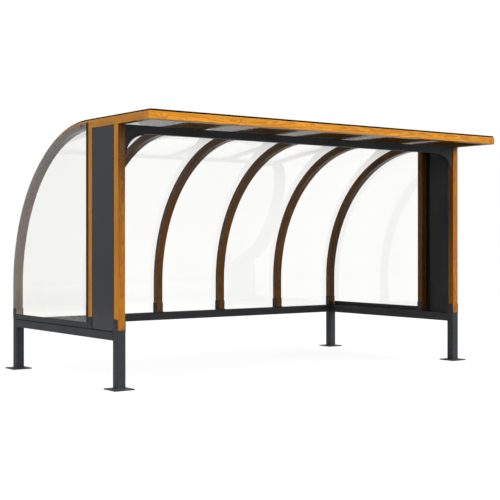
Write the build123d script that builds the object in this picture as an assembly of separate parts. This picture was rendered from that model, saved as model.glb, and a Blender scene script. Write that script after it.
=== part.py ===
from build123d import *
import os

# Open-fronted bike shelter: bent timber ribs on a steel base frame, clear curved sheets outside.
# Millimetres. X runs along the length, the open front faces -Y, Z is up from the ground.

# Bays between the centres of the ribs
bay_count = 5
bay_width = 800

# Square steel tube of the legs and rails
tube_side = 80
tube_wall = 4
tube_corner = 6
rail_top = 489

# Base plates under the legs
plate_side = 190
plate_thick = 10
anchor_edge = 25
anchor_bore = 18

# Timber of the ribs, posts and fascia
timber_width = 70
timber_depth = 68
timber_arris = 3

# Ribs: upright foot, then a quarter circle measured on its outer face, then level to the front
rib_upright = 305
rib_radius = 1486
bend_setback = 36
roof_overhang = 495

# Steel shoes that hold the feet of the ribs and posts between two cheeks
shoe_base = 10
shoe_ledge = 12
cheek_thick = 5
cheek_height = 91

# Solid panels between the front and rear posts of each side wall
panel_width = 382
panel_thick = 10

# Hollow beam under the ribs between the front posts, with a gusset at each end
beam_depth = 50
beam_height = 70
beam_wall = 4
beam_corner = 5
beam_setback = 2
gusset_reach = 190
gusset_tip = 14
gusset_thick = 10

# Flat panes outside the end ribs, in a sill on the side rail and a trim on the rear post
pane_thick = 5
pane_inset = 16
pane_clearance = 3
sill_height = 44
sill_seat = 10
sill_foot = 4
sill_wall = 5
sill_lip = 2
trim_web = 3
trim_lip = 24
trim_flange = 22

# Curved clear sheets on the ribs, clamped by cap strips
sheet_thick = 6
sheet_gap = 6
sheet_lap = 40
sheet_inset = 12
cap_thick = 8
cap_width = 50

# Fascia across the front ends of the ribs, and the strip along its top
fascia_depth = 70
fascia_lap = 3
strip_width = 45

# Heights
foot_z = rail_top + shoe_base
cheek_top = foot_z + cheek_height
bend_z = foot_z + rib_upright
roof_top = bend_z + rib_radius
rib_under = roof_top - timber_depth
beam_bottom = rib_under - beam_height
sheet_foot = rail_top - sheet_lap
sheet_top = roof_top + sheet_thick
cap_top = sheet_top + cap_thick

# Places along the depth, with the middle of the overall depth at zero
wall_depth = 2 * timber_depth + panel_width + bend_setback + rib_radius
overall_depth = roof_overhang + wall_depth + (plate_side - tube_side) / 2
front_y = -overall_depth / 2
fascia_back = front_y + fascia_depth
leg_face_y = front_y + roof_overhang
front_post_back = leg_face_y + timber_depth
rear_post_y = front_post_back + panel_width
rear_post_back = rear_post_y + timber_depth
bend_y = rear_post_back + bend_setback
back_face_y = bend_y + rib_radius
rib_foot_y = back_face_y - timber_depth
front_leg_y = leg_face_y + tube_side / 2
back_leg_y = back_face_y - tube_side / 2

# Places along the length
end_x = bay_count * bay_width / 2
inner_face = end_x - timber_width / 2
side_face = end_x + timber_width / 2
pane_face = side_face + pane_thick
lip_face = pane_face + sill_lip
fascia_end = side_face + fascia_lap
sheet_edge = side_face - sheet_inset
rib_places = [bay_width * index - end_x for index in range(bay_count + 1)]

parts = {}


def block(low, high):
    """Box between its low and high corners."""
    size = [top - bottom for bottom, top in zip(low, high)]
    centre = [(top + bottom) / 2 for bottom, top in zip(low, high)]
    return Pos(*centre) * Box(*size)


def timber(low, high):
    """Straight timber between two corners, its long edges eased."""
    piece = block(low, high)
    longest = max(top - bottom for bottom, top in zip(low, high))
    long_edges = piece.edges().filter_by(lambda edge: edge.length > longest / 2)
    return chamfer(long_edges, timber_arris)


def tube(plane, wide, tall, wall, corner, length):
    """Hollow tube with rounded outer corners, from a plane along its normal."""
    outside = RectangleRounded(wide, tall, corner)
    inside = Rectangle(wide - 2 * wall, tall - 2 * wall)
    return extrude(plane * (outside - inside), length)


def square_tube(plane, length):
    """Length of the tube that the legs and rails are cut from."""
    return tube(plane, tube_side, tube_side, tube_wall, tube_corner, length)


def arch_line(offset, foot, nose_y):
    """Curve parallel to the outer face of the ribs: upright, quarter circle, level."""
    radius = rib_radius + offset
    upright = Line((back_face_y + offset, foot), (back_face_y + offset, bend_z))
    bend = CenterArc((bend_y, bend_z), radius, 0, 90)
    level = Line((bend_y, bend_z + radius), (nose_y, bend_z + radius))
    return [upright, bend, level]


def arch(inner, outer, foot, nose_y, x_low, x_high):
    """Bent bar between two curves parallel to the outer face of the ribs."""
    foot_end = Line((back_face_y + inner, foot), (back_face_y + outer, foot))
    nose_end = Line((nose_y, roof_top + inner), (nose_y, roof_top + outer))
    edges = arch_line(inner, foot, nose_y) + arch_line(outer, foot, nose_y)
    face = make_face(edges + [foot_end, nose_end])
    return extrude(Plane.YZ.offset(x_low) * face, x_high - x_low)


def shoe(x_middle, timber_y, base_y):
    """Base plate under a timber, longer than it by a ledge, with a cheek on each side of it."""
    left = x_middle - timber_width / 2
    right = x_middle + timber_width / 2
    timber_back = timber_y + timber_depth
    base_back = base_y + timber_depth + shoe_ledge
    base = block((left - cheek_thick, base_y, rail_top), (right + cheek_thick, base_back, foot_z))
    left_cheek = block((left - cheek_thick, timber_y, foot_z), (left, timber_back, cheek_top))
    right_cheek = block((right, timber_y, foot_z), (right + cheek_thick, timber_back, cheek_top))
    return base + left_cheek + right_cheek


def both_sides(name, piece):
    """Keep a piece of the right end and its mirror image at the left end."""
    parts[f"{name}_right"] = piece
    parts[f"{name}_left"] = mirror(piece, about=Plane.YZ)


def base_plate(y_middle):
    """Square plate under a leg with an anchor bore near each corner."""
    plate = Box(plate_side, plate_side, plate_thick)
    bore = Cylinder(anchor_bore / 2, plate_thick)
    spacing = plate_side - 2 * anchor_edge
    bores = [spot * bore for spot in GridLocations(spacing, spacing, 2, 2)]
    return Pos(end_x, y_middle, plate_thick / 2) * (plate - bores)


def side_panel():
    """Board between the posts, its foot standing on the rail between the ledges of their shoes."""
    inside = side_face - panel_thick
    board = block((inside, front_post_back, foot_z), (side_face, rear_post_y, rib_under))
    foot_front = front_post_back + shoe_ledge
    foot_back = rear_post_y - shoe_ledge
    return board + block((inside, foot_front, rail_top), (side_face, foot_back, foot_z))


def side_pane():
    """Flat pane under the curve of the rib, notched round the cheek of its shoe."""
    top = roof_top - pane_inset
    front = rear_post_back + trim_web
    back = back_face_y - pane_inset
    bottom = rail_top + sill_seat
    notch_y = rib_foot_y - shoe_ledge - pane_clearance
    notch_z = cheek_top + pane_clearance
    foot_corners = [(front, top), (front, bottom), (notch_y, bottom), (notch_y, notch_z), (back, notch_z)]
    edge = Polyline((bend_y, top), *foot_corners, (back, bend_z))
    curve = CenterArc((bend_y, bend_z), rib_radius - pane_inset, 0, 90)
    return extrude(Plane.YZ.offset(side_face) * make_face(edge.edges() + [curve]), pane_thick)


def pane_sill():
    """Channel that the pane stands in, with a foot across the outer half of the rail."""
    front = rear_post_back + trim_lip
    back = rib_foot_y - shoe_ledge
    foot = block((end_x, front, rail_top), (lip_face, back, rail_top + sill_foot))
    channel = block((side_face - sill_wall, front, rail_top), (lip_face, back, rail_top + sill_height))
    slot = block((side_face, front, rail_top + sill_seat), (pane_face, back, rail_top + sill_height))
    return foot + channel - slot


def pane_trim():
    """Strip on the front edge of the pane, with a flange on the back of the rear post."""
    top = roof_top - pane_inset
    web_back = rear_post_back + trim_web
    web = block((side_face, rear_post_back, rail_top), (lip_face, web_back, top))
    lip = block((pane_face, web_back, rail_top), (lip_face, rear_post_back + trim_lip, top))
    flange = block((side_face - trim_flange, rear_post_back, foot_z), (side_face, web_back, rib_under))
    return web + lip + flange


def gusset():
    """Corner plate between beam and post, its free edge a hollow quarter circle."""
    low_z = beam_bottom - gusset_reach
    reach_x = inner_face - gusset_reach
    beam_tip = (reach_x, beam_bottom - gusset_tip)
    post_tip = (inner_face - gusset_tip, low_z)
    corners = [(reach_x, beam_bottom), (inner_face, beam_bottom), (inner_face, low_z)]
    edge = Polyline(beam_tip, *corners, post_tip)
    hollow = CenterArc((reach_x, low_z), gusset_reach - gusset_tip, 0, 90)
    plane = Plane((0, beam_front + beam_corner, 0), x_dir=(1, 0, 0), z_dir=(0, -1, 0))
    return extrude(plane * make_face(edge.edges() + [hollow]), -gusset_thick)


# Base frame
for row, leg_y in (("front", front_leg_y), ("back", back_leg_y)):
    both_sides(f"base_plate_{row}", base_plate(leg_y))
    leg_foot = Plane((end_x, leg_y, plate_thick), x_dir=(1, 0, 0), z_dir=(0, 0, 1))
    both_sides(f"leg_{row}", square_tube(leg_foot, rail_top - plate_thick))

rail_z = rail_top - tube_side / 2
side_rail_end = Plane((end_x, front_leg_y + tube_side / 2, rail_z), x_dir=(1, 0, 0), z_dir=(0, 1, 0))
both_sides("side_rail", square_tube(side_rail_end, back_leg_y - front_leg_y - tube_side))

back_rail_half = end_x - tube_side / 2
back_rail_end = Plane((-back_rail_half, back_leg_y, rail_z), x_dir=(0, 1, 0), z_dir=(1, 0, 0))
parts["back_rail"] = square_tube(back_rail_end, 2 * back_rail_half)

# Ribs and their shoes
for number, rib_x in enumerate(rib_places, start=1):
    rib = arch(-timber_depth, 0, foot_z, fascia_back, rib_x - timber_width / 2, rib_x + timber_width / 2)
    long_edges = rib.edges().filter_by(lambda edge: edge.length > timber_width + timber_depth)
    parts[f"rib_{number}"] = chamfer(long_edges, timber_arris)

parts["rib_shoes"] = Compound([shoe(x, rib_foot_y, rib_foot_y - shoe_ledge) for x in rib_places])

# Side walls
front_post = timber((inner_face, leg_face_y, foot_z), (side_face, front_post_back, rib_under))
both_sides("front_post", front_post)
rear_post = timber((inner_face, rear_post_y, foot_z), (side_face, rear_post_back, rib_under))
both_sides("rear_post", rear_post)

front_shoes = [shoe(x, leg_face_y, leg_face_y) for x in (-end_x, end_x)]
rear_shoes = [shoe(x, rear_post_y, rear_post_y - shoe_ledge) for x in (-end_x, end_x)]
parts["post_shoes"] = Compound(front_shoes + rear_shoes)

both_sides("side_panel", side_panel())
both_sides("side_pane", side_pane())
both_sides("pane_sill", pane_sill())
both_sides("pane_trim", pane_trim())

# Front beam and its gussets
beam_front = leg_face_y + beam_setback
beam_y = beam_front + beam_depth / 2
beam_end = Plane((-inner_face, beam_y, rib_under - beam_height / 2), x_dir=(0, 1, 0), z_dir=(1, 0, 0))
parts["front_beam"] = tube(beam_end, beam_depth, beam_height, beam_wall, beam_corner, 2 * inner_face)
both_sides("gusset", gusset())

# Fascia and the strip along its top, which covers the front edge of the sheets
parts["fascia"] = timber((-fascia_end, front_y, rib_under), (fascia_end, fascia_back, roof_top))
nose = block((-sheet_edge, front_y, roof_top), (sheet_edge, front_y + cap_thick, cap_top))
ledge = block((-sheet_edge, front_y + cap_thick, sheet_top), (sheet_edge, front_y + strip_width, cap_top))
parts["front_strip"] = nose + ledge

# Curved sheets, one to a bay, with joints over the inner ribs
sheet_ends = [place + sheet_gap / 2 for place in rib_places[:-1]]
sheet_ends[0] = cap_thick - sheet_edge
for number, low_x in enumerate(sheet_ends, start=1):
    high_x = -sheet_ends[-number]
    parts[f"cover_sheet_{number}"] = arch(0, sheet_thick, sheet_foot, front_y + cap_thick, low_x, high_x)

# Cap strips over the joints of the sheets, and angles over the two end edges, their legs running on
# under the front strip
cap_nose = front_y + strip_width
cap_band = (sheet_thick, sheet_thick + cap_thick, sheet_foot, cap_nose)
inner_caps = [arch(*cap_band, place - cap_width / 2, place + cap_width / 2) for place in rib_places[1:-1]]
parts["inner_cap_strips"] = Compound(inner_caps)
cap_leg = arch(0, sheet_thick, sheet_foot, front_y + cap_thick, sheet_edge - cap_thick, sheet_edge)
both_sides("end_cap_strip", arch(*cap_band, sheet_edge - cap_width, sheet_edge) + cap_leg)

os.makedirs("parts", exist_ok=True)
for node, piece in parts.items():
    export_step(piece, f"parts/{node}.step")
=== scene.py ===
import math

import bpy
import numpy as np
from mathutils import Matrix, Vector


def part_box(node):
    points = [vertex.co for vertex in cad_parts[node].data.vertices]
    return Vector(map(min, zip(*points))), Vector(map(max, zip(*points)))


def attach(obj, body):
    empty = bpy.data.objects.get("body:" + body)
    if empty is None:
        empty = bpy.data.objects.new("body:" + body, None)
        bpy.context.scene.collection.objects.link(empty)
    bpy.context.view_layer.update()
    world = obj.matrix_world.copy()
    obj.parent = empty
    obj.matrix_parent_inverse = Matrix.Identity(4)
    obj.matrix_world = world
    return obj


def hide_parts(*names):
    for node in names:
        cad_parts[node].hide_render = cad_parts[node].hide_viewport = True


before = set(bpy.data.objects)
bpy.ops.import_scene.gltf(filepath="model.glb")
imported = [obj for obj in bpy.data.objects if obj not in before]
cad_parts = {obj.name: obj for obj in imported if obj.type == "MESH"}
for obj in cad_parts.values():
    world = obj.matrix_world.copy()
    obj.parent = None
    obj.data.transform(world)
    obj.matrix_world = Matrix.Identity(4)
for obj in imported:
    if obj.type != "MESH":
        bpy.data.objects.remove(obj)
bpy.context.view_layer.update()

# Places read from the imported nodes, in metres
rib_low, rib_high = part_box("rib_1")
post_low, post_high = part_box("front_post_left")
fascia_low, fascia_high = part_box("fascia")
sheet_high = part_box("cover_sheet_1")[1]
cap_low, cap_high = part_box("end_cap_strip_right")
strip_low, strip_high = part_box("front_strip")
pane_low, pane_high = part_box("side_pane_right")
sill_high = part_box("pane_sill_right")[1]
trim_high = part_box("pane_trim_right")[1]
gusset_low, gusset_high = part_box("gusset_right")
shoe_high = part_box("rib_shoes")[1]
rail_low, rail_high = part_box("side_rail_right")
leg_low, leg_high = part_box("leg_front_right")
back_leg_low, back_leg_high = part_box("leg_back_right")

rib_count = sum(node.startswith("rib_") and node != "rib_shoes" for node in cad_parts)
timber_width = rib_high.x - rib_low.x
timber_depth = rib_high.z - post_high.z
roof_top = rib_high.z
back_face = rib_high.y
side_face = -rib_low.x
end_x = side_face - timber_width / 2
rib_places = np.linspace(-end_x, end_x, rib_count)
rail_top = rail_high.z
foot_level = post_low.z
tube_side = rail_high.x - rail_low.x
plate_top = leg_low.z

# Bend of the ribs, measured on their outer face
rib_radius = 1.486
bend_y = back_face - rib_radius
bend_z = roof_top - rib_radius
bend_steps = 72

# Small sizes of the finish
arris = 0.003
arris_steps = 3
guard = 0.0015
plate_ease = 0.001
pane_ease = 0.0006
seat_gap = 0.0006
sheet_thick = sheet_high.z - roof_top
sheet_corner = 0.001
cap_thick = cap_high.z - sheet_high.z
cap_width = 0.05
strip_corner = 0.0012
groove_half = 0.007
groove_share = 0.36
pane_clearance = 0.003
gusset_tip = 0.014
tube_corner = 0.006
edge_angle = math.radians(32)
grain_stride = 9.7

along_x = np.array([1.0, 0.0, 0.0])
along_y = np.array([0.0, 1.0, 0.0])
along_z = np.array([0.0, 0.0, 1.0])


def add(tree, kind, sockets=None, **settings):
    """Shader node of a kind: its settings, then its sockets, set to values or joined to outputs."""
    node = tree.nodes.new("ShaderNode" + kind)
    for key, value in settings.items():
        setattr(node, key, value)
    for key, value in (sockets or {}).items():
        if isinstance(value, bpy.types.NodeSocket):
            tree.links.new(value, node.inputs[key])
        else:
            node.inputs[key].default_value = value
    return node


def calc(tree, operation, *terms):
    """Output of a math node on two or three terms, each a number or an output."""
    return add(tree, "Math", dict(enumerate(terms)), operation=operation).outputs[0]


def spread(tree, vector, factors, detail):
    """Noise on coordinates stretched by three factors, from zero to one."""
    stretched = add(tree, "VectorMath", {0: vector, 1: factors}, operation="MULTIPLY").outputs[0]
    return add(tree, "TexNoise", {"Vector": stretched, "Scale": 1.0, "Detail": detail}).outputs[0]


def between(tree, value, low, high, start=0.0, end=1.0):
    """Smooth step: start where the value is low, end where it is high."""
    sockets = {"Value": value, "From Min": low, "From Max": high, "To Min": start, "To Max": end}
    return add(tree, "MapRange", sockets, interpolation_type="SMOOTHSTEP").outputs[0]


def blend(tree, factor, first, second, mode="MIX"):
    """Mix of two colours, each given as a colour or an output."""
    sockets = {0: factor, 6: first, 7: second}
    return add(tree, "Mix", sockets, data_type="RGBA", blend_type=mode).outputs[2]


def grey(tree, level):
    """Colour with the same level in its three parts."""
    return add(tree, "CombineColor", {0: level, 1: level, 2: level}).outputs[0]


def raised(tree, height, distance, strength):
    """Bump normal from a height."""
    return add(tree, "Bump", {"Height": height, "Distance": distance, "Strength": strength}).outputs[0]


def object_place(tree):
    """Coordinates of the shaded point in metres."""
    return add(tree, "TexCoord").outputs["Object"]


def height_above_ground(tree):
    """Height of the shaded point in metres."""
    return add(tree, "SeparateXYZ", {0: object_place(tree)}).outputs[2]


def finish_of(name, **constants):
    """New material with one principled shader, whose constant sockets are set here."""
    material = bpy.data.materials.new(name)
    material.use_nodes = True
    shader = material.node_tree.nodes["Principled BSDF"]
    for socket, value in constants.items():
        shader.inputs[socket.replace("_", " ")].default_value = value
    return material, material.node_tree, shader


def honey_timber(name, lamella, ring_width):
    """Glued softwood under a honey glaze. Rings are circles about a pith that each board has for
    itself, with a slope along the board, bent round knots that are balls in the timber; boards laid
    end to end make up lamellas, stacked through the depth."""
    early_wood = (0.84, 0.34, 0.02, 1)
    late_wood = (0.54, 0.17, 0.007, 1)
    knot_wood = (0.3, 0.09, 0.01, 1)
    glue_tone = (0.6, 0.5, 0.45, 1)
    board_length = 1.45
    board_stagger = 0.37
    knot_spacing = 0.13
    knot_stagger = 2.31
    knot_share = 0.5
    knot_core, knot_rim = 0.004, 0.014
    swirl_reach, swirl_width = 0.07, 0.018
    pith_spread, pith_depth = 0.06, 0.09
    ring_slope = 0.05
    ring_wander = 0.05
    damp_height = 0.12
    glue_core, glue_rim = 0.0002, 0.0006
    grain_height = 0.0004
    material, tree, shader = finish_of(
        name, Coat_Weight=0.04, Coat_Roughness=0.25, Specular_IOR_Level=0.3
    )
    grain = add(tree, "Attribute", attribute_name="grain").outputs["Vector"]
    along, across, depth = add(tree, "SeparateXYZ", {0: grain}).outputs

    layer_place = calc(tree, "DIVIDE", calc(tree, "ADD", depth, timber_depth / 2), lamella)
    layer = calc(tree, "FLOOR", layer_place)
    board_shift = calc(tree, "MULTIPLY", layer, board_stagger)
    board_place = calc(tree, "MULTIPLY_ADD", along, 1 / board_length, board_shift)
    board_key = add(tree, "CombineXYZ", {0: layer, 1: calc(tree, "FLOOR", board_place)}).outputs[0]
    chance = add(tree, "TexWhiteNoise", {"Vector": board_key}, noise_dimensions="2D").outputs["Color"]
    first, second, third = add(tree, "SeparateColor", {0: chance}).outputs[:3]

    knot_along = calc(tree, "MULTIPLY_ADD", layer, knot_stagger, along)
    knot_at = add(tree, "CombineXYZ", {0: knot_along, 1: across, 2: depth}).outputs[0]
    knots = add(tree, "TexVoronoi", {"Vector": knot_at, "Scale": 1 / knot_spacing})
    knot_far = calc(tree, "MULTIPLY", knots.outputs["Distance"], knot_spacing)
    knot_kind = add(tree, "SeparateColor", {0: knots.outputs["Color"]}).outputs[0]
    knot_here = calc(tree, "GREATER_THAN", knot_kind, knot_share)
    knot = calc(tree, "MULTIPLY", between(tree, knot_far, knot_rim, knot_core), knot_here)
    swirl = between(tree, knot_far, swirl_reach, knot_core, 0.0, swirl_width)
    swirl = calc(tree, "MULTIPLY", swirl, knot_here)

    pith_across = calc(tree, "MULTIPLY_ADD", first, pith_spread, -pith_spread / 2)
    pith_below = calc(tree, "MULTIPLY_ADD", second, pith_spread, pith_depth)
    offset_across = calc(tree, "SUBTRACT", across, pith_across)
    offset_depth = calc(tree, "ADD", depth, pith_below)
    offset = add(tree, "CombineXYZ", {0: offset_across, 1: offset_depth}).outputs[0]
    radius = add(tree, "VectorMath", {0: offset}, operation="LENGTH").outputs["Value"]
    slope = calc(tree, "MULTIPLY", calc(tree, "MULTIPLY_ADD", third, 2.0, -1.0), ring_slope)
    wander = calc(tree, "MULTIPLY", spread(tree, grain, (2.2, 9, 9), detail=2.5), ring_wander)
    ring_place = calc(tree, "ADD", calc(tree, "MULTIPLY_ADD", along, slope, radius), wander)
    ring = calc(tree, "FRACT", calc(tree, "DIVIDE", calc(tree, "ADD", ring_place, swirl), ring_width))
    late = calc(tree, "MULTIPLY", between(tree, ring, 0.3, 0.85), between(tree, ring, 1.0, 0.9))

    fibre = spread(tree, grain, (7, 420, 420), detail=3)
    cloud = spread(tree, grain, (2.2, 26, 26), detail=3)
    streak = between(tree, cloud, 0.3, 0.7, 0.86, 1.08)
    tone = calc(tree, "MULTIPLY", streak, calc(tree, "MULTIPLY_ADD", third, 0.14, 0.93))
    tone = calc(tree, "MULTIPLY", tone, calc(tree, "MULTIPLY_ADD", fibre, 0.24, 0.88))
    damp = between(tree, height_above_ground(tree), foot_level, foot_level + damp_height, 0.86, 1.0)
    fleck = between(tree, spread(tree, grain, (16, 130, 130), detail=2), 0.55, 0.7, 0.0, 0.5)
    late_share = calc(tree, "MAXIMUM", calc(tree, "MULTIPLY", late, 0.75), fleck)
    wood = blend(tree, late_share, early_wood, late_wood)
    wood = blend(tree, 1.0, wood, grey(tree, calc(tree, "MULTIPLY", tone, damp)), "MULTIPLY")
    wood = blend(tree, calc(tree, "MULTIPLY", knot, 0.75), wood, knot_wood)
    glue_far = calc(tree, "MULTIPLY", calc(tree, "PINGPONG", layer_place, 0.5), lamella)
    glue_line = between(tree, glue_far, glue_rim, glue_core, 0.0, 0.8)
    wood = blend(tree, glue_line, wood, glue_tone, "MULTIPLY")
    tree.links.new(wood, shader.inputs["Base Color"])
    tree.links.new(calc(tree, "MULTIPLY_ADD", fibre, 0.12, 0.24), shader.inputs["Roughness"])
    height = calc(tree, "ADD", calc(tree, "MULTIPLY", late, 0.5), fibre)
    tree.links.new(raised(tree, height, grain_height, 0.3), shader.inputs["Normal"])
    return material


def powder_coat(name, colour):
    """Powder coat: orange-peel bump, faint mottling, and dust on level faces and near the ground."""
    dust_colour = (0.16, 0.155, 0.145, 1)
    level_dust, splash_dust = 0.06, 0.08
    splash_height = 0.28
    darker_share = 0.86
    peel_height = 0.00012
    material, tree, shader = finish_of(name, Specular_IOR_Level=0.52)
    place = object_place(tree)
    mottle = spread(tree, place, (6, 6, 6), detail=4)
    peel = spread(tree, place, (520, 520, 520), detail=2)
    facing = add(tree, "SeparateXYZ", {0: add(tree, "NewGeometry").outputs["Normal"]}).outputs[2]
    level = between(tree, facing, 0.6, 1.0, 0.0, level_dust)
    splash = between(tree, height_above_ground(tree), splash_height, 0.0, 0.0, splash_dust)
    patch = between(tree, spread(tree, place, (14, 14, 9), detail=5), 0.4, 0.75)
    dust = calc(tree, "MULTIPLY", calc(tree, "ADD", level, splash), patch)
    darker = tuple(darker_share * part for part in colour[:3]) + (1,)
    coat = blend(tree, dust, blend(tree, mottle, darker, colour), dust_colour)
    tree.links.new(coat, shader.inputs["Base Color"])
    tree.links.new(calc(tree, "MULTIPLY_ADD", mottle, 0.16, 0.5), shader.inputs["Roughness"])
    tree.links.new(raised(tree, peel, peel_height, 0.3), shader.inputs["Normal"])
    return material


def laminate_board(name):
    """Compact laminate: fine pebbled face, faint cloudiness, rubbed marks low down."""
    light_tone = (0.056, 0.057, 0.061, 1)
    dark_tone = (0.048, 0.049, 0.053, 1)
    rubbed_tone = (0.1, 0.1, 0.102, 1)
    rub_top, rub_full = 1.1, 0.5
    pebble_scale = 620
    pebble_height = 0.0002
    material, tree, shader = finish_of(name, Specular_IOR_Level=0.22)
    place = object_place(tree)
    cloud = spread(tree, place, (3.5, 3.5, 2.2), detail=4)
    pebble = add(tree, "TexVoronoi", {"Vector": place, "Scale": pebble_scale}, feature="SMOOTH_F1")
    marks = between(tree, spread(tree, place, (9, 9, 70), detail=4), 0.6, 0.72)
    low_down = between(tree, height_above_ground(tree), rub_top, rub_full, 0.0, 0.3)
    board = blend(tree, cloud, dark_tone, light_tone)
    board = blend(tree, calc(tree, "MULTIPLY", marks, low_down), board, rubbed_tone)
    tree.links.new(board, shader.inputs["Base Color"])
    tree.links.new(calc(tree, "MULTIPLY_ADD", cloud, 0.12, 0.18), shader.inputs["Roughness"])
    tree.links.new(raised(tree, pebble.outputs["Distance"], pebble_height, 0.25), shader.inputs["Normal"])
    return material


def clear_plastic(name):
    """Clear sheet: its film of dust lets the clearness to the power of one over the cosine of the slant
    through, so it veils more the flatter it is looked along; slight waves are left by the bending."""
    clearness = 0.991
    film_loss = 0.01
    least_slant = 0.08
    wave_height = 0.0006
    clean_tint = (0.988, 0.99, 0.97, 1)
    veiled_tint = (0.12, 0.125, 0.115, 1)
    material, tree, shader = finish_of(name, Transmission_Weight=1.0, IOR=1.43)
    place = object_place(tree)
    film = between(tree, spread(tree, place, (2.4, 2.4, 1.6), detail=5), 0.35, 0.75)
    wave = spread(tree, place, (1.6, 2.6, 2.6), detail=1)
    facing = add(tree, "LayerWeight", {"Blend": 0.5}).outputs["Facing"]
    slant = calc(tree, "MAXIMUM", calc(tree, "SUBTRACT", 1.0, facing), least_slant)
    dusty = calc(tree, "MULTIPLY_ADD", film, -film_loss, clearness)
    veil = calc(tree, "POWER", dusty, calc(tree, "DIVIDE", 1.0, slant))
    tree.links.new(blend(tree, veil, veiled_tint, clean_tint), shader.inputs["Base Color"])
    tree.links.new(calc(tree, "MULTIPLY", film, 0.02), shader.inputs["Roughness"])
    tree.links.new(raised(tree, wave, wave_height, 0.4), shader.inputs["Normal"])
    return material


def coated_strip(name):
    """Dark coated aluminium: fine drawing lines along the length, and rubbed patches."""
    dark = (0.004, 0.0037, 0.0034, 1)
    rubbed = (0.009, 0.0087, 0.0084, 1)
    line_height = 0.00008
    material, tree, shader = finish_of(name, Specular_IOR_Level=0.03)
    place = object_place(tree)
    lines = spread(tree, place, (900, 3, 3), detail=2)
    patch = spread(tree, place, (5, 5, 5), detail=4)
    worn = between(tree, patch, 0.45, 0.8)
    tree.links.new(blend(tree, worn, dark, rubbed), shader.inputs["Base Color"])
    tree.links.new(calc(tree, "MULTIPLY_ADD", lines, 0.18, 0.36), shader.inputs["Roughness"])
    tree.links.new(raised(tree, lines, line_height, 0.3), shader.inputs["Normal"])
    return material


def soft_rubber(name):
    """Black gasket rubber with a dry bloom."""
    black = (0.005, 0.005, 0.005, 1)
    dry = (0.015, 0.015, 0.0145, 1)
    material, tree, shader = finish_of(name, Specular_IOR_Level=0.1)
    bloom = spread(tree, object_place(tree), (40, 40, 40), detail=4)
    tree.links.new(blend(tree, bloom, black, dry), shader.inputs["Base Color"])
    tree.links.new(calc(tree, "MULTIPLY_ADD", bloom, 0.2, 0.6), shader.inputs["Roughness"])
    return material


def blackened_screw(name):
    """Blackened steel of the fasteners, rubbed bright in places."""
    black = (0.03, 0.03, 0.031, 1)
    bright = (0.14, 0.14, 0.145, 1)
    material, tree, shader = finish_of(name, Metallic=0.8)
    rub = between(tree, spread(tree, object_place(tree), (300, 300, 300), detail=3), 0.55, 0.8)
    tree.links.new(blend(tree, rub, black, bright), shader.inputs["Base Color"])
    tree.links.new(calc(tree, "MULTIPLY_ADD", rub, -0.12, 0.45), shader.inputs["Roughness"])
    return material


rib_timber = honey_timber("honey_rib_timber", lamella=timber_depth / 7, ring_width=0.007)
post_timber = honey_timber("honey_post_timber", lamella=timber_depth / 2, ring_width=0.009)
fascia_timber = honey_timber("honey_fascia_timber", lamella=2 * timber_depth, ring_width=0.0085)
steel_coat = powder_coat("anthracite_powder_coat", (0.0255, 0.028, 0.0318, 1))
panel_board = laminate_board("dark_laminate_board")
clear_sheet = clear_plastic("clear_bent_sheet")
dark_strip = coated_strip("dark_coated_strip")
# Black rubber finish of the gaskets, also used for the strip that paints the shadow in the groove of the
# side rails
rubber_and_shadow_black = soft_rubber("black_gasket_rubber_and_groove_shadow")
screw_steel = blackened_screw("blackened_screw_steel")


def rounded_section(width, height, radius, steps=arris_steps):
    """Outline of a rectangle with quarter-circle corners: each corner's points are its centre plus the
    radius times cosine and sine of an angle, with a guard point on the flats before and after, at most
    a third of the flat away."""
    starts = np.radians([0.0, 90.0, 180.0, 270.0])[:, None]
    signs = np.array([(1, 1), (-1, 1), (-1, -1), (1, -1)])[:, None, :]
    centres = signs * (np.array([width, height]) / 2 - radius)
    turns = np.linspace(0, np.pi / 2, steps + 1)[None, :] + starts
    arcs = centres + radius * np.stack([np.cos(turns), np.sin(turns)], axis=-1)
    ways = np.stack([-np.sin(turns), np.cos(turns)], axis=-1)
    upright, level = np.minimum(guard, (np.array([height, width]) - 2 * radius) / 3)
    before = arcs[:, :1] - np.array([upright, level] * 2)[:, None, None] * ways[:, :1]
    after = arcs[:, -1:] + np.array([level, upright] * 2)[:, None, None] * ways[:, -1:]
    return np.concatenate([before, arcs, after], axis=1).reshape(-1, 2)


def inset(outline, amount):
    """Outline moved inwards: each point goes along the bisector of its two edges, far enough that both
    edges move by the amount."""
    onward = np.roll(outline, -1, axis=0) - outline
    onward = onward / np.linalg.norm(onward, axis=1, keepdims=True)
    inward = np.stack([-onward[:, 1], onward[:, 0]], axis=-1)
    before = np.roll(inward, 1, axis=0)
    shared = 1 + np.sum(inward * before, axis=1, keepdims=True)
    return outline + amount * (inward + before) / shared


def crowned_top(half_width, low, thick, ends):
    """Top of a pressed strip from its right edge to its left: thick times one minus a share of the cube
    of the distance from the middle, less a groove for the screws that dies away as a steep bell."""
    crown_points = 33
    places = np.linspace(half_width, -half_width, crown_points)
    crown = 1 - (1 - ends) * np.abs(places / half_width) ** 3
    groove = groove_share * np.exp(-((places / groove_half) ** 6))
    return np.stack([places, low + thick * (crown - groove)], axis=-1)


def straight_path(start, end):
    """Stations of a straight line: both ends, a guard's length inside them, and their distances."""
    start, end = np.array(start, float), np.array(end, float)
    length = np.linalg.norm(end - start)
    distances = np.array([0, guard, length - guard, length])
    return start + distances[:, None] * (end - start) / length, distances


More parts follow.
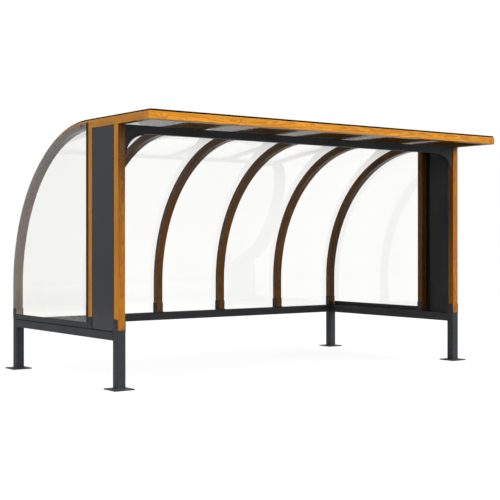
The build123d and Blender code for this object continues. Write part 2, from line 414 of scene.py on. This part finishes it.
def arch_path(offset, foot, nose):
    """Stations of the line that lies an offset outside the ribs: up from the foot, a quarter circle
    (centre plus radius times cosine and sine), level to the nose. Gives points, normals, distances."""
    radius = rib_radius + offset
    quarter = np.linspace(0, np.pi / 2, bend_steps + 1)
    angles = np.concatenate([[0, 0], quarter, [np.pi / 2, np.pi / 2]])
    normals = np.stack([np.zeros_like(angles), np.cos(angles), np.sin(angles)], axis=-1)
    points = np.array([0, bend_y, bend_z]) + radius * normals
    points[:2, 2] = foot, bend_z - guard
    points[-2:, 1] = bend_y - guard, nose
    steps = np.linalg.norm(np.diff(points, axis=0), axis=1)
    return points, normals, np.concatenate([[0], np.cumsum(steps)])


def carried(section, origins, across, upward):
    """Surface of two parameters: section point (s, t) at a station is its origin + s across + t upward.
    A stack of sections gives each station its own."""
    section = np.broadcast_to(section, (len(origins),) + section.shape[-2:])
    across = np.broadcast_to(across, origins.shape)[:, None]
    upward = np.broadcast_to(upward, origins.shape)[:, None]
    return origins[:, None] + section[..., :1] * across + section[..., 1:] * upward


def bar_faces(stations, corners):
    """Quads between neighbouring stations of a closed section, and one face over each end."""
    index = np.arange(stations * corners).reshape(stations, corners)
    beside = np.roll(index, -1, axis=1)
    quads = np.stack([index[:-1], beside[:-1], beside[1:], index[1:]], axis=-1).reshape(-1, 4)
    return quads.tolist() + [index[0, ::-1].tolist(), index[-1].tolist()]


def bar(section, origins, across, upward):
    """Closed bar: a section carried along a path, as points and faces."""
    points = carried(section, origins, across, upward)
    return points.reshape(-1, 3), bar_faces(len(origins), section.shape[-2])


def slab(outline, start, end, across, upward, ease):
    """Flat plate: an outline carried straight from one face to the other, smaller by the ease at both."""
    start, end = np.array(start, float), np.array(end, float)
    length = np.linalg.norm(end - start)
    distances = np.array([0, ease, length - ease, length])
    origins = start + distances[:, None] * (end - start) / length
    small = inset(outline, ease)
    return bar(np.stack([small, outline, outline, small]), origins, across, upward)


def grain_along(section, distances, shift):
    """Grain coordinates of a bar: distance along it with the piece's own shift, then s and t."""
    grain = np.empty((len(distances), len(section), 3))
    grain[..., 0] = distances[:, None] + shift
    grain[..., 1:] = section
    return grain.reshape(-1, 3)


def screw_heads(places, normals, radius, height):
    """Round heads with a socket: profile points (share of the radius, share of the height) turned about
    each head's normal by cosine and sine."""
    profile = np.array([(0.96, 0.0), (1.0, 0.3), (0.9, 0.72), (0.62, 1.0), (0.4, 1.0), (0.36, 0.35)])
    segments = 14
    steep = 0.9
    places, normals = np.array(places, float), np.array(normals, float)
    helper = np.where(np.abs(normals[:, 2:]) > steep, along_x, along_z)
    side = np.cross(helper, normals)
    side = side / np.linalg.norm(side, axis=1, keepdims=True)
    other = np.cross(normals, side)
    turns = np.linspace(0, 2 * np.pi, segments, endpoint=False)
    ring = np.cos(turns)[:, None] * side[:, None, :] + np.sin(turns)[:, None] * other[:, None, :]
    outwards = radius * profile[:, 0][None, :, None, None] * ring[:, None]
    upwards = height * profile[:, 1][None, :, None, None] * normals[:, None, None]
    points = places[:, None, None] + outwards + upwards
    faces = bar_faces(len(profile), segments)
    return [(head.reshape(-1, 3), faces) for head in points]


def weld_bead(path, outward, upward, leg):
    """Fillet weld along a path in the corner of two faces: a rounded triangle whose legs swell and
    shrink as a sine of the distance, as the ripples of the bead."""
    ripple_length = 0.006
    ripple_swell = 0.14
    corner_sides = np.array([
        (-0.15, -0.15), (1.0, -0.15), (1.0, 0.1), (0.62, 0.62), (0.1, 1.0), (-0.15, 1.0)
    ])
    steps = np.linalg.norm(np.diff(path, axis=0), axis=1)
    distances = np.concatenate([[0], np.cumsum(steps)])
    swell = leg * (1 + ripple_swell * np.sin(2 * np.pi * distances / ripple_length))
    sections = corner_sides[None] * swell[:, None, None]
    return bar(sections, path, outward, upward)


def piece(name, shells, finish, stands_for=(), grain=None):
    """Object of one or more closed shells, joined, smooth but for its sharp edges."""
    starts = np.cumsum([0] + [len(points) for points, faces in shells])
    joined = zip(starts, shells)
    faces = [[corner + start for corner in face] for start, shell in joined for face in shell[1]]
    mesh = bpy.data.meshes.new(name)
    mesh.from_pydata(np.concatenate([points for points, faces in shells]), [], faces)
    mesh.polygons.foreach_set("use_smooth", np.ones(len(mesh.polygons), dtype=bool))
    mesh.set_sharp_from_angle(angle=edge_angle)
    mesh.materials.append(finish)
    if grain is not None:
        mesh.attributes.new("grain", "FLOAT_VECTOR", "POINT").data.foreach_set("vector", grain.ravel())
    mesh.update()
    made = bpy.data.objects.new(name, mesh)
    bpy.context.scene.collection.objects.link(made)
    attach(made, "root")
    if stands_for:
        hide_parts(*stands_for)


def mirrored(outline):
    """Outline of the other end: first coordinate turned round, order reversed to keep its sense."""
    return (outline * np.array([-1, 1]))[::-1]


# Bent ribs
rib_section = rounded_section(timber_width, timber_depth, arris)
for number, rib_x in enumerate(rib_places, start=1):
    origins, normals, distances = arch_path(-timber_depth / 2, rib_low.z, rib_low.y)
    shell = bar(rib_section, origins + rib_x * along_x, along_x, normals)
    grain = grain_along(rib_section, distances, number * grain_stride)
    piece(f"bent_rib_{number}", [shell], rib_timber, [f"rib_{number}"], grain)

# Posts and fascia
post_section = rounded_section(timber_width, timber_depth, arris)
posts = ["front_post_left", "front_post_right", "rear_post_left", "rear_post_right"]
for number, node in enumerate(posts, start=1):
    low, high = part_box(node)
    middle = (low + high) / 2
    origins, distances = straight_path((middle.x, middle.y, low.z), (middle.x, middle.y, high.z))
    shell = bar(post_section, origins, along_x, along_y)
    grain = grain_along(post_section, distances, -number * grain_stride)
    piece(f"{node}_timber", [shell], post_timber, [node], grain)

fascia_section = rounded_section(fascia_high.z - fascia_low.z, fascia_high.y - fascia_low.y, arris)
fascia_middle = (fascia_low + fascia_high) / 2
fascia_ends = [(x, fascia_middle.y, fascia_middle.z) for x in (fascia_low.x, fascia_high.x)]
origins, distances = straight_path(*fascia_ends)
shell = bar(fascia_section, origins, -along_z, along_y)
fascia_shift = -6 * grain_stride
grain = grain_along(fascia_section, distances, fascia_shift)
piece("fascia_timber", [shell], fascia_timber, ["fascia"], grain)

# Curved sheets
for number in range(1, rib_count):
    node = f"cover_sheet_{number}"
    low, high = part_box(node)
    section = rounded_section(high.x - low.x, sheet_thick - seat_gap, sheet_corner, 2)
    origins, normals = arch_path((sheet_thick + seat_gap) / 2, low.z, low.y)[:2]
    shell = bar(section, origins + (low.x + high.x) / 2 * along_x, along_x, normals)
    piece(f"{node}_clear", [shell], clear_sheet, [node])

# Side panes, notched round the shoes of the end ribs
notch_y = sill_high.y - pane_clearance
notch_z = shoe_high.z + pane_clearance
turns = np.linspace(0, np.pi / 2, bend_steps + 1)
pane_radius = pane_high.z - bend_z
pane_shift = 0.0135
pane_centre = np.array([bend_y + pane_shift, bend_z])
pane_back = pane_centre[0] + pane_radius
pane_curve = pane_centre + pane_radius * np.stack([np.cos(turns), np.sin(turns)], axis=-1)
pane_foot = [(pane_low.y, pane_low.z), (notch_y, pane_low.z), (notch_y, notch_z), (pane_back, notch_z)]
pane_outline = np.concatenate([pane_foot, pane_curve, [(pane_low.y, pane_high.z)]])
pane_faces = {
    "right": (pane_low.x + seat_gap, pane_high.x),
    "left": (-pane_high.x, -pane_low.x - seat_gap),
}
for end, (near, far) in pane_faces.items():
    shell = slab(pane_outline, (near, 0, 0), (far, 0, 0), along_y, along_z, pane_ease)
    piece(f"side_pane_{end}_clear", [shell], clear_sheet, [f"side_pane_{end}"])

# Gussets between beam and posts
gusset_radius = gusset_high.x - gusset_low.x - gusset_tip
gusset_stride = 6
gusset_turns = turns[::-gusset_stride]
gusset_ways = np.stack([np.cos(gusset_turns), np.sin(gusset_turns)], axis=-1)
hollow = np.array([gusset_low.x, gusset_low.z]) + gusset_radius * gusset_ways
gusset_corners = [
    (gusset_high.x, gusset_low.z), (gusset_high.x, gusset_high.z), (gusset_low.x, gusset_high.z)
]
gusset_outline = np.concatenate([gusset_corners, hollow])
for end, outline in {"right": gusset_outline, "left": mirrored(gusset_outline)}.items():
    shell = slab(outline, (0, gusset_high.y, 0), (0, gusset_low.y, 0), along_x, along_z, plate_ease)
    piece(f"gusset_{end}_plate", [shell], steel_coat, [f"gusset_{end}"])

# Cap strips over the joints of the sheets; a share says how thick a strip is left at its edges
cap_edge_share = 0.75
angle_edge_share = 0.97
strip_edge_share = 0.94
cap_half = cap_width / 2
cap_level = sheet_thick + seat_gap / 2
cap_seat = [(-cap_half, cap_level), (cap_half, cap_level)]
cap_origins, cap_normals, cap_distances = arch_path(0, cap_low.z, strip_high.y)
cap_section = np.concatenate([cap_seat, crowned_top(cap_half, sheet_thick, cap_thick, cap_edge_share)])
joint_places = rib_places[1:-1]
shells = [bar(cap_section, cap_origins + x * along_x, along_x, cap_normals) for x in joint_places]
piece("inner_cap_strips_pressed", shells, dark_strip, ["inner_cap_strips"])

# Angles over the end edges of the sheets: a crowned band, and a leg that runs on under the front strip
band_top = crowned_top(cap_half, sheet_thick, cap_thick, angle_edge_share)
band_section = np.concatenate([cap_seat, band_top])
band_middle = cap_high.x - cap_half
leg_section = rounded_section(cap_thick, sheet_thick - seat_gap / 2, strip_corner, 2)
leg_origins, leg_normals = arch_path(cap_level / 2, cap_low.z, cap_low.y)[:2]
leg_middle = cap_high.x - cap_thick / 2
for end, side in (("right", 1), ("left", -1)):
    band = bar(band_section, cap_origins + side * band_middle * along_x, along_x, cap_normals)
    leg = bar(leg_section, leg_origins + side * leg_middle * along_x, along_x, leg_normals)
    piece(f"end_cap_strip_{end}_pressed", [band, leg], dark_strip, [f"end_cap_strip_{end}"])

# Strip along the front edge of the roof
strip_half = (strip_high.y - strip_low.y) / 2
strip_middle = strip_low.y + strip_half
strip_level = strip_high.z - cap_thick
strip_top = crowned_top(strip_half, strip_level, cap_thick, strip_edge_share)
strip_foot = [
    (-strip_half, strip_low.z + strip_corner),
    (-strip_half + strip_corner, strip_low.z),
    (-strip_half + cap_thick, strip_low.z),
    (-strip_half + cap_thick, strip_level),
    (strip_half, strip_level),
]
strip_section = np.concatenate([strip_foot, strip_top])
origins = straight_path((strip_low.x, 0, 0), (strip_high.x, 0, 0))[0] + strip_middle * along_y
shell = bar(strip_section, origins, along_y, along_z)
piece("front_strip_pressed", [shell], dark_strip, ["front_strip"])

# Screws in the grooves of the strips
screw_spacing = 0.3
screw_margin = 0.06
nose_margin = 0.05
strip_screws = 15
cap_screw_radius = 0.0055
cap_screw_height = 0.0016
groove_floor = sheet_thick + cap_thick * (1 - groove_share)
cap_length = cap_distances[-1]
cap_screws = int(cap_length / screw_spacing) + 1
screw_stops = np.linspace(screw_margin, cap_length - nose_margin, cap_screws)
screw_line = np.stack([np.interp(screw_stops, cap_distances, part) for part in cap_origins.T], axis=-1)
screw_ways = np.stack([np.interp(screw_stops, cap_distances, part) for part in cap_normals.T], axis=-1)
screw_ways = screw_ways / np.linalg.norm(screw_ways, axis=1, keepdims=True)
screw_line = screw_line + groove_floor * screw_ways
cap_rows = np.concatenate([[-band_middle], joint_places, [band_middle]])
screw_places = (screw_line[None] + cap_rows[:, None, None] * along_x).reshape(-1, 3)
screw_normals = np.tile(screw_ways, (len(cap_rows), 1))
strip_places = np.empty((strip_screws, 3))
strip_places[:, 0] = np.linspace(strip_low.x + screw_margin, strip_high.x - screw_margin, strip_screws)
strip_places[:, 1:] = strip_middle, strip_level + groove_floor - sheet_thick
screw_places = np.concatenate([screw_places, strip_places])
screw_normals = np.concatenate([screw_normals, np.tile(along_z, (strip_screws, 1))])
shells = screw_heads(screw_places, screw_normals, cap_screw_radius, cap_screw_height)
piece("cap_strip_screws", shells, screw_steel)

# Gaskets on both sides of the cap strips, and at the pane's sill and trim
gasket = 0.003
gasket_corner = 0.001
gasket_section = rounded_section(gasket, gasket, gasket_corner, 1)
trim_gasket = 2 * gasket / 3
trim_gasket_section = rounded_section(trim_gasket, gasket, gasket_corner / 2, 1)
trim_gasket_levels = (sill_high.z + gasket + seat_gap, pane_high.z)
shells = []
for x in joint_places:
    for side in (-1, 1):
        line = cap_origins + (x + side * (cap_width + gasket) / 2) * along_x
        section = gasket_section + np.array([0, sheet_thick + gasket / 2])
        shells.append(bar(section, line, along_x, cap_normals))
for side in (-1, 1):
    for face in (pane_high.x + gasket / 2, pane_low.x - gasket / 2):
        ends = [(side * face, y, sill_high.z + gasket / 2) for y in (trim_high.y, notch_y)]
        shells.append(bar(gasket_section, straight_path(*ends)[0], along_z, along_x))
    trim_gasket_x = side * (pane_high.x + trim_gasket / 2)
    ends = [(trim_gasket_x, trim_high.y + gasket / 2, z) for z in trim_gasket_levels]
    shells.append(bar(trim_gasket_section, straight_path(*ends)[0], along_x, along_y))
piece("pane_and_cap_gaskets", shells, rubber_and_shadow_black)

# Painted shadow: a black strip in the rounded upper edge of the side rails, under sill and panel, darkens
# the groove between rail and sill where shade falls
shade_strip_sink = 0.0008
shade_strip_fold = 0.3 * tube_corner
shade_strip_drop = 1.5 * tube_corner
shade_strip_face = rail_high.x + seat_gap
shade_strip = np.array([
    (shade_strip_face, rail_top - shade_strip_sink),
    (rail_high.x - tube_corner, rail_top - shade_strip_sink),
    (rail_high.x - shade_strip_fold, rail_top - shade_strip_fold),
    (shade_strip_face, rail_top - shade_strip_drop),
])
origins = straight_path((0, rail_high.y, 0), (0, rail_low.y, 0))[0]
shells = [bar(section, origins, along_x, along_z) for section in (shade_strip, mirrored(shade_strip))]
# Object that paints the groove's shadow, in the black rubber finish of the gaskets
piece("rail_groove_painted_shadow", shells, rubber_and_shadow_black)

# Screws through the cheeks of the shoes, and one through each pane into the rib
cheek_screw_radius = 0.006
cheek_screw_height = 0.0038
cheek_screw_rises = (0.028, 0.066)
cheek_screw_steps = (-0.014, 0.014)
cheek_face = shoe_high.x - end_x
rib_middle_y = back_face - timber_depth / 2
front_middle_y = (post_low.y + post_high.y) / 2
rear_low, rear_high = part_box("rear_post_right")
rear_middle_y = (rear_low.y + rear_high.y) / 2
shoe_spots = [(x, rib_middle_y) for x in rib_places]
shoe_spots += [(x, y) for x in (-end_x, end_x) for y in (front_middle_y, rear_middle_y)]
shoe_spots = np.array(shoe_spots)
cheek_places = []
cheek_normals = []
for side in (-1, 1):
    for step, rise in zip(cheek_screw_steps, cheek_screw_rises):
        x = shoe_spots[:, 0] + side * cheek_face
        y = shoe_spots[:, 1] + step
        cheek_places.append(np.stack([x, y, np.full(len(x), foot_level + rise)], axis=-1))
        cheek_normals.append(np.tile(side * along_x, (len(x), 1)))
cheek_places = np.concatenate(cheek_places)
cheek_normals = np.concatenate(cheek_normals)
shells = screw_heads(cheek_places, cheek_normals, cheek_screw_radius, cheek_screw_height)
piece("shoe_cheek_screws", shells, screw_steel)

pane_screw_turn = math.radians(86.5)
pane_screw_radius = 0.009
pane_screw_height = 0.003
rib_middle_radius = rib_radius - timber_depth / 2
pane_screw_y = bend_y + rib_middle_radius * math.cos(pane_screw_turn)
pane_screw_z = bend_z + rib_middle_radius * math.sin(pane_screw_turn)
pane_screw_places = [(side * pane_high.x, pane_screw_y, pane_screw_z) for side in (-1, 1)]
shells = screw_heads(pane_screw_places, [-along_x, along_x], pane_screw_radius, pane_screw_height)
piece("pane_screws", shells, screw_steel)

# Welds round the feet of the legs and under the ends of the rails
weld_leg = 0.005
ring_steps = 330
bead_steps = 80
ring = rounded_section(tube_side, tube_side, tube_corner, 4)
ring = np.concatenate([ring, ring[:1]])
ring_distances = np.concatenate([[0], np.cumsum(np.linalg.norm(np.diff(ring, axis=0), axis=1))])
ring_stops = np.linspace(0, ring_distances[-1], ring_steps)
ring = np.stack([np.interp(ring_stops, ring_distances, part) for part in ring.T], axis=-1)
ring_ways = np.gradient(ring, axis=0)
ring_ways = ring_ways / np.linalg.norm(ring_ways, axis=1, keepdims=True)
ring_outward = np.stack([ring_ways[:, 1], -ring_ways[:, 0], np.zeros(ring_steps)], axis=-1)
shells = []
for x in (-end_x, end_x):
    for low, high in ((leg_low, leg_high), (back_leg_low, back_leg_high)):
        leg_centre = np.array([x, (low.y + high.y) / 2])
        path = np.column_stack([ring + leg_centre, np.full(ring_steps, plate_top)])
        shells.append(weld_bead(path[::-1], ring_outward[::-1], along_z, weld_leg))
bead_reach = tube_side / 2 - tube_corner
bead_line = np.linspace(-bead_reach, bead_reach, bead_steps)
bead_level = np.full(bead_steps, rail_low.z)
for x in (-end_x, end_x):
    for y, away in ((rail_low.y, along_y), (rail_high.y, -along_y)):
        path = np.column_stack([x - bead_line * away[1], np.full(bead_steps, y), bead_level])
        shells.append(weld_bead(path, away, -along_z, weld_leg))
back_rail_y = (back_leg_low.y + back_leg_high.y) / 2
for x, away in ((leg_low.x, -along_x), (-leg_low.x, along_x)):
    path = np.column_stack([np.full(bead_steps, x), back_rail_y + bead_line * away[0], bead_level])
    shells.append(weld_bead(path, away, -along_z, weld_leg))
piece("frame_welds", shells, steel_coat)

# Finishes of the nodes that are shown as they are
node_finishes = {
    "leg": steel_coat, "base_plate": steel_coat, "side_rail": steel_coat, "back_rail": steel_coat,
    "rib_shoes": steel_coat, "post_shoes": steel_coat, "front_beam": steel_coat, "pane_sill": steel_coat,
    "pane_trim": steel_coat, "side_panel": panel_board,
}
for node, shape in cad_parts.items():
    for start, finish in node_finishes.items():
        if node.startswith(start):
            shape.data.materials.clear()
            shape.data.materials.append(finish)

# Studio: pale floor, white surroundings, soft light from the front right, from low in front, from the
# left and from behind
floor_radius = 14.0
floor_hole = 0.5
floor_fade_shares = (0.5, 0.95)
floor_bounce = (0.004, 0.004, 0.004, 1)
floor_tone = (0.07, 0.07, 0.07, 1)
floor_lift = 0.945
floor_lift_mirrored = 0.7


def seen_directly(tree):
    """One for rays that come from the camera, a mirror or clear sheet, with no matt face between."""
    path = add(tree, "LightPath").outputs
    bounced = calc(tree, "MAXIMUM", path["Is Glossy Ray"], path["Is Transmission Ray"])
    shown = calc(tree, "MAXIMUM", path["Is Camera Ray"], bounced)
    return calc(tree, "MULTIPLY", shown, calc(tree, "LESS_THAN", path["Diffuse Depth"], 0.5))


def seen_in_mirror(tree):
    """One for rays that a glossy face has thrown back."""
    path = add(tree, "LightPath").outputs
    return calc(tree, "GREATER_THAN", path["Is Glossy Ray"], path["Is Transmission Ray"])


def studio_floor():
    """Disc on the ground: points are radius times cosine and sine of the turn."""
    rings, spokes = 12, 64
    radii = np.linspace(floor_hole, floor_radius, rings)[:, None]
    round_turns = np.linspace(0, 2 * np.pi, spokes, endpoint=False)[None, :]
    flat = [radii * np.cos(round_turns), radii * np.sin(round_turns), 0 * radii * round_turns]
    index = np.arange(rings * spokes).reshape(rings, spokes)
    beside = np.roll(index, -1, axis=1)
    quads = np.stack([index[:-1], index[1:], beside[1:], beside[:-1]], axis=-1).reshape(-1, 4)
    mesh = bpy.data.meshes.new("studio_floor")
    mesh.from_pydata(np.stack(flat, axis=-1).reshape(-1, 3), [], quads.tolist() + [index[0].tolist()])
    material = bpy.data.materials.new("pale_floor")
    material.use_nodes = True
    tree = material.node_tree
    tree.nodes.clear()
    direct = seen_directly(tree)
    matt_colour = blend(tree, direct, floor_bounce, floor_tone)
    matt = add(tree, "BsdfDiffuse", {"Color": matt_colour}).outputs[0]
    lift_level = between(tree, seen_in_mirror(tree), 0.0, 1.0, floor_lift, floor_lift_mirrored)
    lift_level = calc(tree, "MULTIPLY", direct, lift_level)
    lift = add(tree, "Emission", {"Strength": lift_level}).outputs[0]
    shown = add(tree, "AddShader", {0: matt, 1: lift}).outputs[0]
    clear = add(tree, "BsdfTransparent").outputs[0]
    away = add(tree, "VectorMath", {0: object_place(tree)}, operation="LENGTH").outputs["Value"]
    fade_start, fade_end = (share * floor_radius for share in floor_fade_shares)
    fade = between(tree, away, fade_start, fade_end)
    add(tree, "OutputMaterial", {0: add(tree, "MixShader", {0: fade, 1: shown, 2: clear}).outputs[0]})
    mesh.materials.append(material)
    floor = bpy.data.objects.new("studio_floor", mesh)
    bpy.context.scene.collection.objects.link(floor)


def studio_surroundings(dome_level, band_level, sheet_share, ground_level, back_level):
    """White where seen directly; for matt faces a dim dome with a brighter band at the horizon, of which
    the sheets pass a share; in mirror images the back is dimmer than the front, and the ground beyond
    the floor dimmer still."""
    band_flat, band_end = 0.11, 0.2
    back_start, back_full = -0.1, 0.5
    ground_start, ground_full = -0.035, -0.06
    world = bpy.data.worlds.new("studio")
    bpy.context.scene.world = world
    world.use_nodes = True
    tree = world.node_tree
    tree.nodes.clear()
    path = add(tree, "LightPath").outputs
    heading = add(tree, "SeparateXYZ", {0: add(tree, "TexCoord").outputs["Generated"]}).outputs
    mirrored_ray = seen_in_mirror(tree)
    backward = calc(tree, "MULTIPLY", between(tree, heading[1], back_start, back_full), mirrored_ray)
    below = calc(tree, "MULTIPLY", between(tree, heading[2], ground_start, ground_full), mirrored_ray)
    mirror_level = between(tree, backward, 0.0, 1.0, 1.0, back_level)
    mirror_level = calc(tree, "MULTIPLY", mirror_level, between(tree, below, 0.0, 1.0, 1.0, ground_level))
    off_horizon = calc(tree, "ABSOLUTE", heading[2])
    band = between(tree, off_horizon, band_flat, band_end, band_level, 0.0)
    dome = between(tree, heading[2], 0.0, band_end, 0.0, dome_level)
    passed = between(tree, path["Is Transmission Ray"], 0.0, 1.0, 1.0, sheet_share)
    matt_level = calc(tree, "MULTIPLY", calc(tree, "ADD", band, dome), passed)
    direct = seen_directly(tree)
    mirror_gain = calc(tree, "SUBTRACT", mirror_level, matt_level)
    level = calc(tree, "MULTIPLY_ADD", direct, mirror_gain, matt_level)
    backdrop = add(tree, "Background", {"Color": (1, 1, 1, 1), "Strength": level}).outputs[0]
    add(tree, "OutputWorld", {0: backdrop})


def soft_lamp(name, turn, height, spread_angle, strength):
    """Broad distant lamp: turn is measured from the front towards the right, height above the horizon."""
    lamp = bpy.data.lights.new(name, "SUN")
    lamp.energy = strength
    lamp.angle = math.radians(spread_angle)
    shown = bpy.data.objects.new(name, lamp)
    shown.rotation_euler = (math.radians(90 - height), 0, math.radians(turn))
    shown.visible_glossy = False
    shown.visible_transmission = False
    bpy.context.scene.collection.objects.link(shown)


studio_floor()
studio_surroundings(dome_level=0.05, band_level=0.4, sheet_share=0.1, ground_level=0.3, back_level=0.5)
soft_lamp("front_right_lamp", turn=45, height=47, spread_angle=42, strength=4.5)
soft_lamp("left_lamp", turn=-88, height=40, spread_angle=40, strength=2.0)
soft_lamp("low_front_lamp", turn=10, height=12, spread_angle=20, strength=0.28)
soft_lamp("back_lamp", turn=165, height=40, spread_angle=40, strength=1.2)

# Camera at the height of a person's chest, level, turned towards the right
camera_data = bpy.data.cameras.new("camera")
camera_data.sensor_width = 36
camera_data.lens = 81.158
camera_data.shift_y = -0.01836
camera = bpy.data.objects.new("camera", camera_data)
camera.location = (-6.7259, -8.9944, 1.2463)
camera.rotation_euler = (math.radians(90), 0, math.radians(-36.47))
bpy.context.scene.collection.objects.link(camera)
bpy.context.scene.camera = camera
bpy.context.scene.view_settings.view_transform = "Standard"
